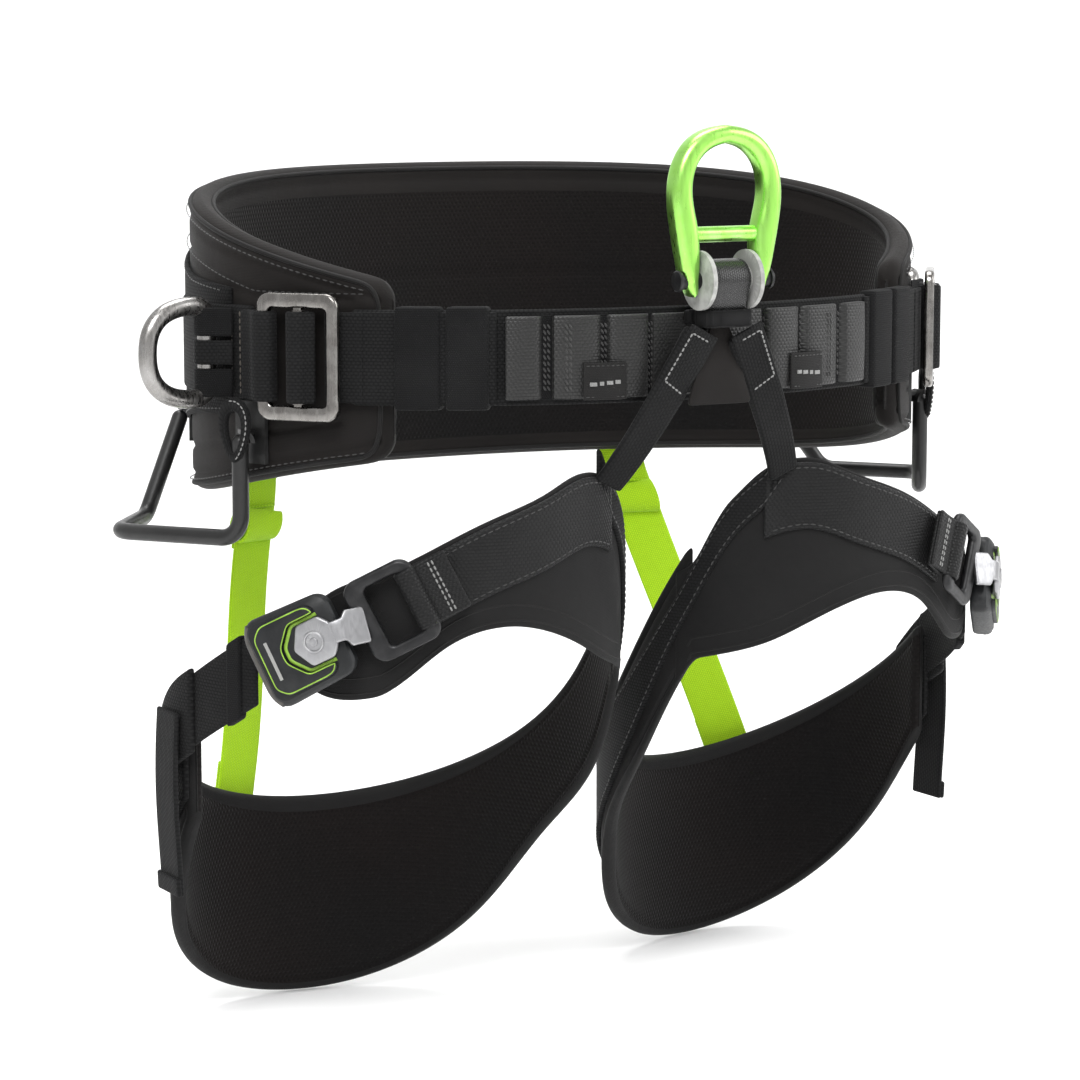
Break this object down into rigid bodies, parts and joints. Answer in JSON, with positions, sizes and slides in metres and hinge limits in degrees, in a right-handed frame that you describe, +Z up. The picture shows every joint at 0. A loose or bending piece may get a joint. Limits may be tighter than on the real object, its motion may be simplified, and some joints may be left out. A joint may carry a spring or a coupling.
{
  "type": "tree climbing saddle",
  "caption": "Padded waist belt and leg loops for climbing trees on a rope, with a swinging front ring, side rings, gear loops and quick-release leg buckles.",
  "frame": {"origin": "middle of the waist opening, level with the centre line of the belt webbing", "axes": "+Z up, the wearer faces -Y, +X is the wearer's left"},
  "size_m": [0.4824, 0.3165, 0.4503],
  "materials": {
    "pad_shell_fabric": "hard-wearing woven shell cloth, black",
    "mesh_lining": "brushed lining cloth, black",
    "foam": "closed-cell foam inside the cloth",
    "black_webbing": "flat woven polyester webbing",
    "black_elastic": "knitted elastic band",
    "green_elastic": "yellow-green elastic webbing",
    "green_anodised": "forged alloy, satin green anodised",
    "buckle_steel": "plated steel",
    "satin_alloy": "bead-blasted alloy",
    "black_alloy": "black anodised alloy",
    "black_housing": "moulded cover with thin green outlines",
    "gear_tube": "stiff plastic-covered cord"
  },
  "bodies": {
    "hip_belt": {"hip_pad_lining": "mesh_lining", "hip_pad_foam": "foam", "hip_pad_shell": "pad_shell_fabric", "rear_webbing": "black_webbing", "front_webbing": "black_webbing", "front_daisy_webbing": "black_webbing", "ventral_thimble": "satin_alloy", "ventral_webbing_loop": "black_webbing", "ventral_loop_band": "black_webbing", "left_belt_keeper_1": "black_elastic", "left_belt_keeper_2": "black_elastic", "left_label_loop": "black_webbing", "left_waist_buckle": "buckle_steel", "left_hip_ring_strap": "black_webbing", "left_gear_anchor_front": "black_webbing", "left_gear_anchor_back": "black_webbing", "left_riser": "green_elastic", "left_riser_hook": "green_elastic", "right_belt_keeper_1": "black_elastic", "right_belt_keeper_2": "black_elastic", "right_label_loop": "black_webbing", "right_waist_buckle": "buckle_steel", "right_hip_ring_strap": "black_webbing", "right_gear_anchor_front": "black_webbing", "right_gear_anchor_back": "black_webbing", "right_riser": "green_elastic", "right_riser_hook": "green_elastic"},
    "ventral_ring_body": {"ventral_ring": "green_anodised", "ventral_cross_bar": "green_anodised", "ventral_axle": "buckle_steel"},
    "left_hip_ring_body": {"left_hip_ring": "satin_alloy"},
    "left_gear_loop_body": {"left_gear_loop": "gear_tube"},
    "left_buckle_bar_body": {"left_waist_buckle_bar": "buckle_steel", "left_waist_webbing_fold": "black_webbing"},
    "left_leg_loop_body": {"left_front_strap": "black_webbing", "left_leg_pad": "foam", "left_leg_pad_cover": "pad_shell_fabric", "left_leg_wing": "pad_shell_fabric", "left_leg_webbing_rear": "black_webbing", "left_leg_webbing_front": "black_webbing", "left_leg_outer_strap": "black_webbing", "left_leg_keeper": "black_elastic", "left_leg_buckle_housing": "black_housing"},
    "left_leg_tongue_body": {"left_leg_buckle_frame": "black_alloy", "left_leg_buckle_key": "satin_alloy"},
    "right_hip_ring_body": {"right_hip_ring": "satin_alloy"},
    "right_gear_loop_body": {"right_gear_loop": "gear_tube"},
    "right_buckle_bar_body": {"right_waist_buckle_bar": "buckle_steel", "right_waist_webbing_fold": "black_webbing"},
    "right_leg_loop_body": {"right_front_strap": "black_webbing", "right_leg_pad": "foam", "right_leg_pad_cover": "pad_shell_fabric", "right_leg_wing": "pad_shell_fabric", "right_leg_webbing_rear": "black_webbing", "right_leg_webbing_front": "black_webbing", "right_leg_outer_strap": "black_webbing", "right_leg_keeper": "black_elastic", "right_leg_buckle_housing": "black_housing"},
    "right_leg_tongue_body": {"right_leg_buckle_frame": "black_alloy", "right_leg_buckle_key": "satin_alloy"}
  },
  "joints": [
    {"name": "ventral_ring_swing", "type": "hinge", "parent": "hip_belt", "child": "ventral_ring_body", "pos_m": [0, -0.15, 0.035], "axis": [1, 0, 0], "range_deg": [-25, 115]},
    {"name": "left_hip_ring_swing", "type": "hinge", "parent": "hip_belt", "child": "left_hip_ring_body", "pos_m": [0.2057, -0.01693, 0], "axis": [0, 0, 1], "range_deg": [-115, 14]},
    {"name": "right_hip_ring_swing", "type": "hinge", "parent": "hip_belt", "child": "right_hip_ring_body", "pos_m": [-0.2057, -0.01693, 0], "axis": [0, 0, 1], "range_deg": [-80, 49]},
    {"name": "left_gear_loop_flex", "type": "hinge", "parent": "hip_belt", "child": "left_gear_loop_body", "pos_m": [0.19802, -0.03657, -0.042], "axis": [0.1811, -0.9835, 0], "range_deg": [0, 45]},
    {"name": "right_gear_loop_flex", "type": "hinge", "parent": "hip_belt", "child": "right_gear_loop_body", "pos_m": [-0.19802, -0.03657, -0.042], "axis": [0.1811, 0.9835, 0], "range_deg": [0, 45]},
    {"name": "left_buckle_bar_slide", "type": "slide", "parent": "hip_belt", "child": "left_buckle_bar_body", "axis": [0.5994, 0.8004, 0], "range_m": [-0.003, 0.003]},
    {"name": "right_buckle_bar_slide", "type": "slide", "parent": "hip_belt", "child": "right_buckle_bar_body", "axis": [-0.5994, 0.8004, 0], "range_m": [-0.003, 0.003]},
    {"name": "left_leg_loop_swing", "type": "hinge", "parent": "hip_belt", "child": "left_leg_loop_body", "pos_m": [0.0122, -0.15, 0.01], "axis": [-1, 0, 0], "range_deg": [-3, 20], "deforming": ["left_riser"]},
    {"name": "right_leg_loop_swing", "type": "hinge", "parent": "hip_belt", "child": "right_leg_loop_body", "pos_m": [-0.0122, -0.15, 0.01], "axis": [-1, 0, 0], "range_deg": [-3, 20], "deforming": ["right_riser"]},
    {"name": "left_leg_tongue_slide", "type": "slide", "parent": "left_leg_loop_body", "child": "left_leg_tongue_body", "axis": [0.5782, 0.6779, -0.454], "range_m": [0, 0.004]},
    {"name": "right_leg_tongue_slide", "type": "slide", "parent": "right_leg_loop_body", "child": "right_leg_tongue_body", "axis": [-0.5782, 0.6779, -0.454], "range_m": [0, 0.004]}
  ]
}
